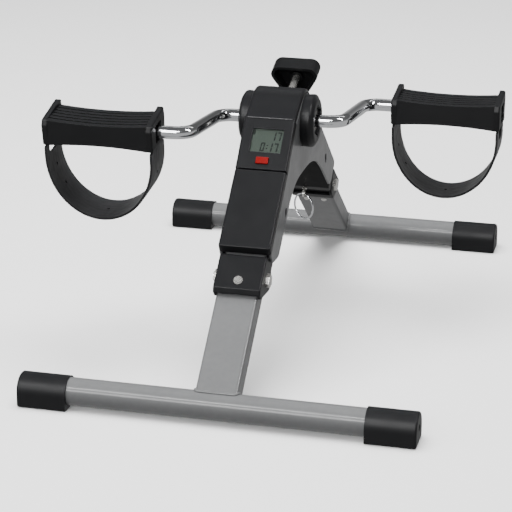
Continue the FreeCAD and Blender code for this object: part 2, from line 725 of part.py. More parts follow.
def pedal(name, side, pitch):
    """Pedal bar between two flanges, bored for the spindle, with lobed wells and seats for the strap."""
    half = size("pedal_bar") / 2
    face = half + size("flange_thick")
    pieces = [pedal_bar(name)]
    corners = [(-20.5, FLANGE_FOOT, 2.5), (-22, 7, 3), (-19.5, 12.6, 2.6), (20.5, 17.4, 3), (22.5, 7, 5),
               (20, FLANGE_FOOT, 3)]
    for end in (-1, 1):
        body = new_body(name + ("_outer" if end > 0 else "_inner"))
        offset = half if end > 0 else -face
        pad(body, sketch(body, "YZ_Plane", [rounded(corners)], offset=offset), "Sizes.flange_thick")
        round_edges(body, 2.0, lambda m, e: abs(abs(m.x) - face) < 0.01)
        pieces.append(body)
    doc.recompute()
    tools = [rod(name + "_bore", (-60, 0, 0), X_AXIS, 6.08, 120, {"Radius": "Sizes.rod_bore / 2"})]
    seat = face - size("strap_inset")
    for end in (-1, 1):
        start = end * (face + 1)
        direction = Vec(-end, 0, 0)
        tools.append(rod(name + "_well", (start, 0, 0), direction, 8.8, WELL_DEPTH + 1))
        for lobe in range(4):
            angle = math.radians(90 * lobe + 45)
            where = (start, 8.2 * math.cos(angle), 8.2 * math.sin(angle))
            tools.append(rod(name + "_lobe", where, direction, 3.2, WELL_DEPTH))
        low = seat - size("strap_thick") - 0.1 if end > 0 else -seat - 0.1
        tools.append(block(name + "_seat", (low, -TONGUE_WIDTH / 2 - 0.2, FLANGE_FOOT - 1),
                           (size("strap_thick") + 0.2, TONGUE_WIDTH + 0.4, TONGUE_TOP - FLANGE_FOOT + 1.1)))
    shape = cut(name + "_cut", fused(name + "_solid", pieces), tools)
    node(shape, name, pedal_frame(side, pitch))


def pedal_frame(side, pitch):
    """Frame at the middle of one pedal, on its spindle."""
    centre = crank_point(side * size("outer_bend"), size("crank_radius"))
    return turned(centre.y, centre.z, pitch, side * size("pedal_centre"))


def strap_side(half_width, spring, drop):
    """The half ellipse that closes one face of the strap below its straight arms."""
    ellipse = Part.Ellipse(Vec(0, spring - drop, 0), Vec(half_width, spring, 0), Vec(0, spring, 0))
    return Part.ArcOfEllipse(ellipse, -math.pi / 2, math.pi / 2)


def strap(name, side, pitch):
    """Wide foot strap that hangs in a U below the pedal, its tongues in the flanges' seats."""
    body = new_body(name + "_body")
    outer = size("pedal_bar") / 2 + size("flange_thick") - size("strap_inset")
    inner = outer - size("strap_thick")
    spring = -24.0
    depth = size("strap_drop") + spring
    lines = []
    for half_width, drop in ((outer, depth), (inner, depth - size("strap_thick"))):
        lines.append(strap_side(half_width, spring, drop))
        for hand in (-1, 1):
            arm = hand * half_width
            lines.append(Part.LineSegment(Vec(arm, spring, 0), Vec(arm, TONGUE_TOP, 0)))
    for hand in (-1, 1):
        lines.append(Part.LineSegment(Vec(hand * inner, TONGUE_TOP, 0), Vec(hand * outer, TONGUE_TOP, 0)))
    pad(body, sketch(body, "XZ_Plane", [lines]), "Sizes.strap_width", middle=True)
    doc.recompute()
    tools = []
    for hand in (-1, 1):
        tools.append(block(name + "_shoulder", (-60, hand * (TONGUE_WIDTH / 2 + 5) - 5, FLANGE_FOOT - 0.4),
                           (120, 10, 10)))
    slot_x = side * (inner + 1)
    for y in (-6.5, 2.5):
        tools.append(rod(name + "_slot_end", (slot_x - 4, y, -19), X_AXIS, 5.5, 8))
    tools.append(block(name + "_slot", (slot_x - 4, -12, -19), (8, 20, 4.8)))
    tools.append(block(name + "_slot_foot", (slot_x - 4, -6.5, -24.5), (8, 9, 6)))
    for turn in STRAP_HOLES:
        angle = math.radians(turn)
        direction = Vec(math.sin(angle), 0, -math.cos(angle))
        tools.append(rod(name + "_hole", (0, 0, spring), direction, 1.6, 90))
    node(cut(name + "_cut", body, tools), name, pedal_frame(side, pitch))


# ---------------------------------------------------------------- front leg and its hinge

def front_hinge():
    """Hinge block fixed to the front limb; the leg turns inside it on the pivot bolt."""
    body = new_body("front_hinge_block_body")
    corners = [(-19.5, 16.5, 0.8), (-23.5, 13.3, 0.5), (-23.3, 6, 4), (-1, -17.5, 9), (15.5, -17.5, 12),
               (15.5, 16.5, 2.5)]
    pad(body, sketch(body, "YZ_Plane", [rounded(corners)]), "43.4", middle=True)
    round_edges(body, 1.5, lambda m, e: abs(abs(m.x) - 21.7) < 0.01)
    tongue = rounded(box_corners(8, 34, -9, 9))
    pad(body, sketch(body, "YZ_Plane", [tongue]), "43", middle=True)
    leg_room = rounded(box_corners(-40, 13.2, -30, 13.0))
    pocket(body, sketch(body, "YZ_Plane", [leg_room]), "Sizes.leg_width + 0.6", middle=True)
    limb_room = rounded(box_corners(13.1, 40, -30, 10.0))
    pocket(body, sketch(body, "YZ_Plane", [limb_room]), "Sizes.leg_width", middle=True)
    pocket(body, sketch(body, "YZ_Plane", circles=[(0, 0, "pivot_dia")]), "60", middle=True)
    pocket(body, sketch(body, "XY_Plane", circles=[(0, -11, 4.35)], offset=10), "10", back=True)
    node(body, "front_hinge_block", FRONT)
    pivot_bolt("front", FRONT)

    pin = rod("pin_shank", (0, -11, 10.4), Z_AXIS, 4.25, 6.6)
    head = doc.addObject("Part::Cone", "pin_head")
    head.Radius1 = 4.25
    head.Radius2 = 3.45
    head.Height = 0.9
    head.Placement.Base = Vec(0, -11, 17.0)
    node(fused("pin_shape", [pin, head]), "front_lock_button", FRONT)


def pivot_bolt(end, frame):
    """Pivot bolt along X with a hexagon head on the right, and its nut on the left."""
    reach = 21.7 if end == "front" else 21.6
    shank = rod(end + "_shank", (-reach - 5.5, 0, 0), X_AXIS, 4, 2 * reach + 6,
                {"Radius": "Sizes.pivot_dia / 2"})
    head = hexagon(11.0, reach, 3.4, end + "_bolt_head")
    node(fused(end + "_bolt_shape", [shank, head]), end + "_pivot_bolt", frame)
    nut = hexagon(11.0, -reach - 4.4, 4.4, end + "_nut_hex")
    bore = rod(end + "_nut_bore", (-reach - 6, 0, 0), X_AXIS, 4, 8, {"Radius": "Sizes.pivot_dia / 2"})
    node(cut(end + "_nut_cut", nut, [bore]), end + "_pivot_nut", frame)


def front_leg():
    """Leg tube, coped onto the foot tube, with the lock hole and the pivot sleeve inside."""
    reach = size("front_reach")
    foot = rod("front_cope", (-30, -reach, 0), X_AXIS, 12.5, 60, {"Radius": "Sizes.tube_dia / 2"})
    pivot = rod("front_leg_bore", (-30, 0, 0), X_AXIS, 4.08, 60, {"Radius": "Sizes.pivot_bore / 2"})
    lock = rod("front_leg_lock", (0, -11, 5), Z_AXIS, 4.8, 10)
    square_tube("front_leg_tube", FRONT, -reach, 7.0, [foot, pivot, lock])
    half = size("leg_width") / 2 - size("leg_wall")
    sleeve = ring("front_sleeve_ring", -half, 2 * half, 6, 4.08, None, {"Radius": "Sizes.pivot_bore / 2"})
    node(sleeve, "front_pivot_sleeve", FRONT)
    body = new_body("front_lock_spring_body")
    corners = [(-62, -8.5, 0), (-40, -8.5, 0), (-18, 3.4, 1), (-7, 3.4, 0), (-7, 4.2, 0), (-18.2, 4.2, 1),
               (-40.2, -7.7, 0), (-62, -7.7, 0)]
    pad(body, sketch(body, "YZ_Plane", [rounded(corners)]), "9", middle=True)
    node(body, "front_lock_spring", FRONT)


# ---------------------------------------------------------------- rear leg and its hinge

def rear_knuckle():
    """Knuckle plugged into the rear limb: round nose on the pivot, and a collar that guides the lock pin."""
    body = new_body("rear_knuckle_body")
    nose = rounded(box_corners(-9.8, 9.8, -9.8, 9.8, 9.79))
    pad(body, sketch(body, "YZ_Plane", [nose]), "Sizes.leg_width - 0.6", middle=True)
    neck = rounded(box_corners(-15, 0, 1.2, 9.8))
    pad(body, sketch(body, "YZ_Plane", [neck]), "Sizes.leg_width - 0.6", middle=True)
    collar = rounded(box_corners(-24, -14.2, -12.3, 12.3, 1.2))
    pad(body, sketch(body, "YZ_Plane", [collar]), "43", middle=True)
    limb_room = rounded(box_corners(-30, LIMB_TUBE_END, -10, 10))
    pocket(body, sketch(body, "YZ_Plane", [limb_room]), "Sizes.leg_width", middle=True)
    plug = rounded(box_corners(-34, LIMB_TUBE_END, -8.3, 8.3))
    pad(body, sketch(body, "YZ_Plane", [plug]), "33", middle=True)
    pocket(body, sketch(body, "YZ_Plane", circles=[(0, 0, "pivot_bore")]), "60", middle=True)
    pocket(body, sketch(body, "XY_Plane", circles=[(PIN_X, PIN_Y, 2.56)], offset=3), "20")
    node(body, "rear_hinge_knuckle", REAR)


def rear_hinge():
    """Hinge block fixed to the rear leg: a sleeve with two ears on the pivot bolt."""
    body = new_body("rear_hinge_block_body")
    corners = [(-12, 14, 2), (23, 14.5, 3), (25.5, 5, 4), (8, -12.5, 4), (-12, -12.5, 11.5)]
    pad(body, sketch(body, "YZ_Plane", [rounded(corners)]), "43.2", middle=True)
    round_edges(body, 1.5, lambda m, e: abs(abs(m.x) - 21.6) < 0.01)
    room = [(-20, -20), (-1, -20), (-1, -10.2), (11.8, -10.2), (11.8, 10.4), (-20, 10.4)]
    nose_room = rounded([(y, z, 0) for y, z in room])
    pocket(body, sketch(body, "YZ_Plane", [nose_room]), "Sizes.leg_width + 0.2", middle=True)
    leg_room = rounded(box_corners(11.7, 50, -10, 10))
    pocket(body, sketch(body, "YZ_Plane", [leg_room]), "Sizes.leg_width", middle=True)
    pocket(body, sketch(body, "YZ_Plane", circles=[(0, 0, "pivot_dia")]), "60", middle=True)
    node(body, "rear_hinge_block", REAR)
    pivot_bolt("rear", REAR)


def lock_pin_and_ring():
    """Spring-loaded lock pin in the knuckle's collar, and the wire ring that pulls it."""
    shank = rod("lock_shank", (PIN_X, PIN_Y, -13.4), Z_AXIS, 2.5, 12.4)
    eye = block("lock_eye", (PIN_X - 1.1, PIN_Y - 3.5, EYE_Z), (2.2, 7, 5.6))
    eye_end = rod("lock_eye_end", (PIN_X - 1.1, PIN_Y, EYE_Z), X_AXIS, 3.5, 2.2)
    hole = rod("lock_eye_hole", (PIN_X - 5, PIN_Y, EYE_Z), X_AXIS, 2.3, 10)
    node(cut("lock_pin_cut", fused("lock_pin_solid", [shank, eye, eye_end]), [hole]), "rear_lock_pin", REAR)

    centre = in_frame(REAR, PIN_Y, EYE_Z)
    hoop = doc.addObject("Part::Torus", "pull_ring_torus")
    bind(hoop, {"Radius1": "Sizes.pull_ring_radius", "Radius2": "Sizes.pull_ring_wire / 2"})
    upright = FreeCAD.Rotation(Z_AXIS, size("pull_ring_turn")).multiply(FreeCAD.Rotation(Z_AXIS, Y_AXIS))
    hoop.Placement = FreeCAD.Placement(Vec(PIN_X, centre[0], centre[1] - size("pull_ring_radius")), upright)
    node(hoop, "pull_ring")


def rear_leg():
    """Rear leg tube, coped onto its foot, and the two rivets in its underside."""
    reach = size("rear_reach")
    foot = rod("rear_cope", (-30, reach, 0), X_AXIS, 12.5, 60, {"Radius": "Sizes.tube_dia / 2"})
    holes = [rod("rear_rivet_hole", (x, 20.5, -11), Z_AXIS, 1.6, 3) for x in (-9, 9)]
    square_tube("rear_leg_tube", REAR, 12.0, reach, [foot] + holes)
    rivets = []
    for x in (-9, 9):
        head = doc.addObject("Part::Sphere", "rivet_dome")
        head.Radius = 3.6
        head.Placement.Base = Vec(x, 20.5, -8.2)
        trim = block("rivet_trim", (x - 5, 15, -10), (10, 10, 8))
        dome = cut("rivet_head", head, [trim])
        rivets.append(fused("rivet", [dome, rod("rivet_shank", (x, 20.5, -10.2), Z_AXIS, 1.6, 2.6)]))
    node(fused("rivet_pair", rivets), "rear_leg_rivets", REAR)


# ---------------------------------------------------------------- feet

def foot(end, y):
    """Round foot tube with a plastic cap on each end."""
    length = size("foot_length") - 2 * size("cap_end_wall")
    tube = ring(end + "_foot_ring", -length / 2, length, 12.5, 11,
                {"Radius": "Sizes.tube_dia / 2", "Height": "Sizes.foot_length - 2 * Sizes.cap_end_wall"},
                {"Radius": "Sizes.tube_dia / 2 - Sizes.tube_wall",
                 "Height": "Sizes.foot_length - 2 * Sizes.cap_end_wall + 2"})
    node(tube, end + "_foot_tube", turned(y, size("foot_rise"), 0))
    for side, name in ((-1, "left"), (1, "right")):
        foot_cap("%s_%s_cap" % (end, name), side, y)


def foot_cap(label, side, y):
    """Arched end cap: flat underneath, round on top, with a dimple in its end face."""
    body = new_body(label + "_body")
    half = size("cap_width") / 2
    rise = size("cap_rise")
    corners = [(-half, 0, 2.5), (half, 0, 2.5), (half, rise, half - 0.05), (-half, rise, half - 0.05)]
    pad(body, sketch(body, "YZ_Plane", [rounded(corners)]), "Sizes.cap_length")
    socket = sketch(body, "YZ_Plane", circles=[(0, size("foot_rise"), "tube_dia")])
    pocket(body, socket, "Sizes.cap_length - Sizes.cap_end_wall", back=True)
    round_edges(body, 2.0, lambda m, e: abs(m.x - size("cap_length")) < 0.01)
    dimple = sketch(body, "YZ_Plane", circles=[(0, size("foot_rise"), 3.2)], offset=size("cap_length"))
    pocket(body, dimple, "1")
    low = size("foot_length") / 2 - size("cap_length")
    rotation = FreeCAD.Rotation(Z_AXIS, 0 if side > 0 else 180)
    node(body, label, FreeCAD.Placement(Vec(side * low, y, 0), rotation))


# ---------------------------------------------------------------- assembly

head_plates_and_limbs()
head_cover()
hood_screws()
inner_cover()
end_cover("right_end_cover", 1)
end_cover("left_end_cover", -1)
front_cover()
display_housing()
display_parts()
speed_sensor()
crank_bush("right_bush", 1)
crank_bush("left_bush", -1)
tension_parts()
crank()
for hand, word in ((-1, "left"), (1, "right")):
    pedal(word + "_pedal", hand, size(word + "_pitch"))
    strap(word + "_strap", hand, size(word + "_pitch"))
front_hinge()
front_leg()
rear_knuckle()
rear_hinge()
lock_pin_and_ring()
rear_leg()
foot("front", -size("foot_offset"))
foot("rear", size("foot_offset"))
doc.recompute()

for item in doc.Objects:
    if "Invalid" in item.State or "Error" in item.State:
        raise RuntimeError("failed: %s %s" % (item.Name, item.State))
for item in nodes:
    if item.Shape.isNull() or not item.Shape.isValid():
        raise RuntimeError("bad shape: " + item.Label)
for item in nodes:
    item.Shape.exportStep(os.path.join("parts", item.Label + ".step"))
    print("%-20s %9.0f mm3  %d solid(s)" % (item.Label, item.Shape.Volume, len(item.Shape.Solids)))
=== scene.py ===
import json
import math

import bmesh
import bpy
from mathutils import Matrix, Vector, geometry, noise

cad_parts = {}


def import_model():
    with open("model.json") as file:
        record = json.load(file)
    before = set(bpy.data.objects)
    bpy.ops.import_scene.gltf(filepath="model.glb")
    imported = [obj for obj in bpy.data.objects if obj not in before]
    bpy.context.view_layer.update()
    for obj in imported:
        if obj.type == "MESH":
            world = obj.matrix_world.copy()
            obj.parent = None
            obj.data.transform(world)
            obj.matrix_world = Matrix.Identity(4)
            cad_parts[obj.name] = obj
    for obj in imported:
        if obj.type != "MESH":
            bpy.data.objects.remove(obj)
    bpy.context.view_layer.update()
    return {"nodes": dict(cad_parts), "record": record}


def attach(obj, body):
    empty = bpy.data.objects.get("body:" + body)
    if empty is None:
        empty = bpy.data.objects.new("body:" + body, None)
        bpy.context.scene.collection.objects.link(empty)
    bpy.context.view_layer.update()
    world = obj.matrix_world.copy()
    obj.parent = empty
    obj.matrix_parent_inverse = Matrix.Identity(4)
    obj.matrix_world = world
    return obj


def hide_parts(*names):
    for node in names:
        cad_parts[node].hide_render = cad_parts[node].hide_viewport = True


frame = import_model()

MM = 0.001

# ------------------------------------------------------------------ local frames of the object, in metres


def tilted(y, z, degrees, x=0.0):
    """A frame at (x, y, z) mm, turned about X; its points are given in mm."""
    place = Matrix.Translation(Vector((x, y, z)) * MM)
    return place @ Matrix.Rotation(math.radians(degrees), 4, "X") @ Matrix.Scale(MM, 4)


# Legs: slope in degrees, and length in mm from hinge to foot tube.
FRONT_ANGLE = 40.5
REAR_ANGLE = 38.0
FRONT_REACH = 127.0
REAR_REACH = 128.0
FOOT_OFFSET = 244.0
FOOT_RISE = 14.2

# Crank axis, throw and slope, and the distance of each pedal's middle from the mid-plane.
AXIS_Y = -6.0
AXIS_Z = 205.0
CRANK_RADIUS = 89.0
CRANK_LIFT = 4.0
PEDAL_CENTRE = 145.4
LEFT_PITCH = 6.0
RIGHT_PITCH = 1.0

FRONT = tilted(-FOOT_OFFSET + FRONT_REACH * math.cos(math.radians(FRONT_ANGLE)),
               FOOT_RISE + FRONT_REACH * math.sin(math.radians(FRONT_ANGLE)), FRONT_ANGLE)
REAR = tilted(FOOT_OFFSET - REAR_REACH * math.cos(math.radians(REAR_ANGLE)),
              FOOT_RISE + REAR_REACH * math.sin(math.radians(REAR_ANGLE)), -REAR_ANGLE)
DISPLAY = tilted(-83.9, 179.1, 46.8)


def pedal_frame(side, pitch):
    """Frame at the middle of one pedal, on its spindle."""
    lift = math.radians(CRANK_LIFT)
    y = AXIS_Y + side * CRANK_RADIUS * math.cos(lift)
    z = AXIS_Z - side * CRANK_RADIUS * math.sin(lift)
    return tilted(y, z, pitch, side * PEDAL_CENTRE)


# ------------------------------------------------------------------ materials


class Surface:
    """A procedural material whose pattern lies in the row's frame, so it keeps its real scale."""

    def __init__(self, name, color, roughness, metallic=0.0, **sockets):
        self.material = bpy.data.materials.new(name)
        self.material.use_nodes = True
        self.tree = self.material.node_tree
        self.shader = self.tree.nodes["Principled BSDF"]
        self.place = self.node("ShaderNodeTexCoord").outputs["Object"]
        self.color = tuple(color) + (1.0,)
        self.shader.inputs["Base Color"].default_value = self.color
        self.shader.inputs["Roughness"].default_value = roughness
        self.shader.inputs["Metallic"].default_value = metallic
        for key, value in sockets.items():
            self.shader.inputs[key.replace("_", " ").title().replace("Ior", "IOR")].default_value = value
        self.tint = None
        self.height = None

    def node(self, kind, **values):
        """A new node, with its settings."""
        made = self.tree.nodes.new(kind)
        for key, value in values.items():
            setattr(made, key, value)
        return made

    def link(self, source, target):
        """Joins an output to an input."""
        self.tree.links.new(source, target)

    def noise(self, scale, detail=2.0, stretch=(1, 1, 1)):
        """Noise whose features are about 1/scale metres across."""
        mapping = self.node("ShaderNodeMapping")
        mapping.inputs["Scale"].default_value = stretch
        self.link(self.place, mapping.inputs["Vector"])
        texture = self.node("ShaderNodeTexNoise")
        texture.inputs["Scale"].default_value = scale
        texture.inputs["Detail"].default_value = detail
        self.link(mapping.outputs["Vector"], texture.inputs["Vector"])
        return texture.outputs["Fac"]

    def spread(self, source, low, high, start=0.3, end=0.7):
        """Source mapped from start..end to low..high."""
        mapped = self.node("ShaderNodeMapRange")
        mapped.inputs["From Min"].default_value = start
        mapped.inputs["From Max"].default_value = end
        mapped.inputs["To Min"].default_value = low
        mapped.inputs["To Max"].default_value = high
        self.link(source, mapped.inputs["Value"])
        return mapped.outputs["Result"]

    def blend_color(self, factor, other):
        """The running colour, mixed towards another by a factor."""
        mix = self.node("ShaderNodeMix", data_type="RGBA")
        if self.tint is None:
            mix.inputs["A"].default_value = self.color
        else:
            self.link(self.tint, mix.inputs["A"])
        mix.inputs["B"].default_value = tuple(other) + (1.0,)
        self.link(factor, mix.inputs["Factor"])
        self.tint = mix.outputs["Result"]
        self.link(self.tint, self.shader.inputs["Base Color"])

    def mottle(self, scale, other, amount):
        """Large soft variation of colour."""
        self.blend_color(self.spread(self.noise(scale), 0.0, amount), other)

    def rough(self, scale, low, high, stretch=(1, 1, 1)):
        """Variation of roughness."""
        self.link(self.spread(self.noise(scale, 3.0, stretch), low, high), self.shader.inputs["Roughness"])

    def edge_wear_and_highlight(self, radius, other, amount, patch=90.0):
        """Lighter or darker colour along the edges, broken up so that it isn't an outline: edge wear, and
        where it is strong, a painted highlight along the edge.
        """
        bevel = self.node("ShaderNodeBevel", samples=4)
        bevel.inputs["Radius"].default_value = radius * MM
        plain = self.node("ShaderNodeNewGeometry").outputs["Normal"]
        dot = self.node("ShaderNodeVectorMath", operation="DOT_PRODUCT")
        self.link(bevel.outputs["Normal"], dot.inputs[0])
        self.link(plain, dot.inputs[1])
        edge = self.spread(dot.outputs["Value"], amount, 0.0, 0.80, 0.985)
        broken = self.node("ShaderNodeMath", operation="MULTIPLY")
        self.link(edge, broken.inputs[0])
        self.link(self.spread(self.noise(patch, 4.0), 0.35, 1.0), broken.inputs[1])
        self.blend_color(broken.outputs["Value"], other)
        return bevel

    def bump(self, scale, depth, detail=3.0, stretch=(1, 1, 1)):
        """Fine relief of the given depth in mm."""
        bump = self.node("ShaderNodeBump")
        bump.inputs["Strength"].default_value = 1.0
        bump.inputs["Distance"].default_value = depth * MM
        self.link(self.noise(scale, detail, stretch), bump.inputs["Height"])
        if self.height is not None:
            self.link(self.height, bump.inputs["Normal"])
        self.height = bump.outputs["Normal"]
        self.link(self.height, self.shader.inputs["Normal"])


def soften(surface, radius):
    """Rounds the shading over sharp edges by a real edge radius in mm."""
    bevel = surface.node("ShaderNodeBevel", samples=4)
    bevel.inputs["Radius"].default_value = radius * MM
    surface.height = bevel.outputs["Normal"]
    surface.link(surface.height, surface.shader.inputs["Normal"])


def painted_steel():
    """Satin grey powder coat with a faint orange peel."""
    paint = Surface("painted_steel", (0.118, 0.120, 0.122), 0.45, specular_ior_level=0.3,
                    coat_weight=0.5, coat_roughness=0.13)
    soften(paint, 0.6)
    paint.mottle(28, (0.105, 0.107, 0.109), 0.7)
    paint.mottle(210, (0.140, 0.142, 0.144), 0.35)
    paint.edge_wear_and_highlight(0.7, (0.24, 0.243, 0.246), 0.5)
    paint.rough(60, 0.40, 0.52)
    paint.bump(520, 0.030)
    paint.bump(2600, 0.006)
    return paint.material


def moulded(name, color, lighter, roughness, grain, relief, edge=0.35, radius=0.45, **sockets):
    """Moulded plastic: a fine spark-eroded grain, with a lighter colour along its edges of a radius in mm,
    which is edge wear and, at a high edge amount, a painted highlight.
    """
    plastic = Surface(name, color, roughness, **sockets)
    soften(plastic, radius)
    plastic.mottle(40, lighter, 0.35)
    plastic.edge_wear_and_highlight(1.1 * radius, [3.0 * part for part in lighter], edge)
    plastic.rough(75, roughness - 0.02, roughness + 0.04)
    plastic.bump(grain, relief)
    plastic.bump(38, 0.012, detail=1.0)
    return plastic.material


def soft_plastic(name, color, lighter, roughness):
    """Soft strap plastic: smooth, faintly calendered, with scuffs."""
    soft = Surface(name, color, roughness, specular_ior_level=0.25, sheen_weight=0.06, sheen_roughness=0.5)
    soft.mottle(55, lighter, 0.5)
    soft.edge_wear_and_highlight(0.5, [3.2 * part for part in lighter], 0.25)
    soft.rough(120, roughness - 0.08, roughness + 0.1, (1, 3, 1))
    soft.bump(900, 0.012)
    soft.bump(2400, 0.006)
    return soft.material


def plated(name, color, low, high, scratch, brush=(1, 1, 1), anisotropic=0.0, metallic=1.0):
    """Plated or bare metal, with its finish marks along one direction."""
    metal = Surface(name, color, low, metallic, anisotropic=anisotropic)
    metal.mottle(60, [0.86 * part for part in color], 0.5)
    metal.rough(260, low, high, brush)
    metal.bump(700, scratch, stretch=brush)
    return metal.material


def felt():
    """Dense wool felt with loose fibres."""
    wool = Surface("brake_felt", (0.19, 0.175, 0.16), 0.95, sheen_weight=0.5, sheen_roughness=0.6)
    wool.mottle(900, (0.30, 0.28, 0.25), 0.8)
    wool.bump(1500, 0.15, detail=6.0, stretch=(1, 1, 3))
    return wool.material


def glass():
    """Clear window: thin and slightly grey, with a gloss coat."""
    clear = Surface("display_window", (0.05, 0.06, 0.055), 0.08, alpha=0.12, ior=1.49, coat_weight=0.5)
    clear.rough(300, 0.05, 0.12)
    clear.mottle(200, (0.04, 0.05, 0.045), 0.4)
    return clear.material


def liquid_crystal():
    """Grey-green reflective display with its faint dot texture."""
    face = Surface("lcd_face", (0.036, 0.050, 0.040), 0.45, specular_ior_level=0.25)
    face.mottle(70, (0.045, 0.061, 0.047), 0.8)
    face.mottle(5200, (0.030, 0.042, 0.033), 0.35)
    face.rough(400, 0.36, 0.48)
    face.bump(3000, 0.004)
    return face.material


def ink():
    """Dark segments of the display."""
    dark = Surface("lcd_ink", (0.004, 0.005, 0.0045), 0.5, specular_ior_level=0.15)
    dark.mottle(900, (0.008, 0.010, 0.009), 0.6)
    dark.rough(500, 0.34, 0.46)
    return dark.material


def red_plastic():
    """Moulded red key with a soft gloss."""
    red = Surface("button_red", (0.155, 0.0003, 0.0003), 0.36, specular_ior_level=0.16)
    soften(red, 0.5)
    red.mottle(160, (0.19, 0.0006, 0.0005), 0.5)
    red.edge_wear_and_highlight(0.6, (0.34, 0.012, 0.010), 0.5)
    red.rough(180, 0.28, 0.4)
    red.bump(1800, 0.01)
    return red.material


def laminate():
    """Green solder mask over a woven laminate."""
    board = Surface("board_laminate", (0.012, 0.10, 0.035), 0.35, coat_weight=0.4, coat_roughness=0.15)
    board.mottle(300, (0.02, 0.16, 0.05), 0.6)
    board.rough(200, 0.3, 0.42)
    board.bump(1400, 0.02, stretch=(1, 6, 1))
    return board.material


BLACK = {"specular_ior_level": 0.2}

MATERIALS = {
    "painted_steel": painted_steel(),
    # The covers and hinge blocks take an edge amount of 0.9, which paints highlight lines along their edges.
    "cover_plastic": moulded("cover_plastic", (0.0075, 0.0077, 0.0085), (0.012, 0.0122, 0.0132),
                             0.37, 1500, 0.010, 0.9, 1.1, **BLACK),
    "hinge_plastic": moulded("hinge_plastic", (0.007, 0.0072, 0.008), (0.011, 0.0112, 0.0122),
                             0.36, 1300, 0.012, 0.9, 1.1, **BLACK),
    "cap_plastic": moulded("cap_plastic", (0.008, 0.0082, 0.009), (0.013, 0.0132, 0.0142),
                           0.42, 900, 0.022, **BLACK),
    "pedal_plastic": moulded("pedal_plastic", (0.0065, 0.0067, 0.0073), (0.011, 0.0112, 0.012),
                             0.45, 1100, 0.018, **BLACK),
    "knob_plastic": moulded("knob_plastic", (0.0045, 0.0047, 0.005), (0.008, 0.0082, 0.0088),
                            0.5, 800, 0.02, specular_ior_level=0.2),
    "sensor_plastic": moulded("sensor_plastic", (0.012, 0.012, 0.013), (0.02, 0.02, 0.021),
                              0.25, 900, 0.006),
    "carrier_plastic": moulded("carrier_plastic", (0.55, 0.54, 0.49), (0.6, 0.59, 0.53),
                               0.45, 900, 0.015, 0.0),
    "strap_rubber": soft_plastic("strap_rubber", (0.010, 0.0101, 0.0112), (0.018, 0.0182, 0.0198), 0.46),
    "crank_chrome": plated("crank_chrome", (0.82, 0.83, 0.85), 0.055, 0.13, 0.0015, (0.15, 1, 1)),
    "ring_chrome": plated("ring_chrome", (0.80, 0.81, 0.83), 0.08, 0.18, 0.002),
    "hardware_steel": plated("hardware_steel", (0.72, 0.71, 0.68), 0.18, 0.32, 0.004, (1, 4, 1), 0.3, 0.85),
    "cell_steel": plated("cell_steel", (0.66, 0.66, 0.66), 0.16, 0.28, 0.003, (6, 1, 1), 0.4),
    "magnet_iron": plated("magnet_iron", (0.09, 0.09, 0.095), 0.5, 0.65, 0.03),
    "brake_felt": felt(),
    "display_window": glass(),
    "lcd_face": liquid_crystal(),
    "board_laminate": laminate(),
    "button_red": red_plastic(),
}
# The seam ridge's plastic is four times lighter and glossier than the cover's: a painted highlight along the
# seam.
SEAM_HIGHLIGHT_PLASTIC = moulded("seam_ridge", (0.03, 0.0302, 0.032), (0.05, 0.0502, 0.053), 0.24, 1500, 0.006)
INNER = moulded("inner_panel", (0.006, 0.0062, 0.0066), (0.010, 0.0102, 0.011),
                0.62, 900, 0.02, specular_ior_level=0.1)
INK = ink()

slot_of = {part["node"]: part["material_slot"] for part in frame["record"]["subparts"]}
for name, item in frame["nodes"].items():
    item.data.materials.clear()
    item.data.materials.append(INNER if name == "inner_cover" else MATERIALS[slot_of[name]])


# ------------------------------------------------------------------ mesh helpers


def new_piece(name, mesh, place, body, slot, material=None, smooth=True):
    """An object made from a bmesh in a local frame, riding on a body."""
    mesh.transform(place)
    bmesh.ops.recalc_face_normals(mesh, faces=mesh.faces)
    data = bpy.data.meshes.new(name)
    mesh.to_mesh(data)
    mesh.free()
    for face in data.polygons:
        face.use_smooth = smooth
    piece = bpy.data.objects.new(name, data)
    bpy.context.scene.collection.objects.link(piece)
    data.materials.append(material or MATERIALS[slot])
    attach(piece, body)
    return piece


def round_edges(piece, width, angle):
    """Rounds a piece's edges that turn by more than an angle in degrees; the width is in mm."""
    bevel = piece.modifiers.new("edge", "BEVEL")
    bevel.width = width * MM
    bevel.segments = 2
    bevel.limit_method = "ANGLE"
    bevel.angle_limit = math.radians(angle)
    bevel.harden_normals = True


def circle(count):
    """Cosines and sines of evenly spaced turns."""
    turns = [2 * math.pi * step / count for step in range(count)]
    return [(math.cos(turn), math.sin(turn)) for turn in turns]


def bridge(mesh, a, b):
    """Quads between two closed rings of vertices."""
    for step in range(len(a)):
        following = (step + 1) % len(a)
        mesh.faces.new([a[step], a[following], b[following], b[step]])


def prism(mesh, corners, bottom, top):
    """A flat-ended prism over a closed outline."""
    lower = [mesh.verts.new((x, y, bottom)) for x, y in corners]
    upper = [mesh.verts.new((x, y, top)) for x, y in corners]
    mesh.faces.new(upper)
    mesh.faces.new(lower[::-1])
    bridge(mesh, lower, upper)


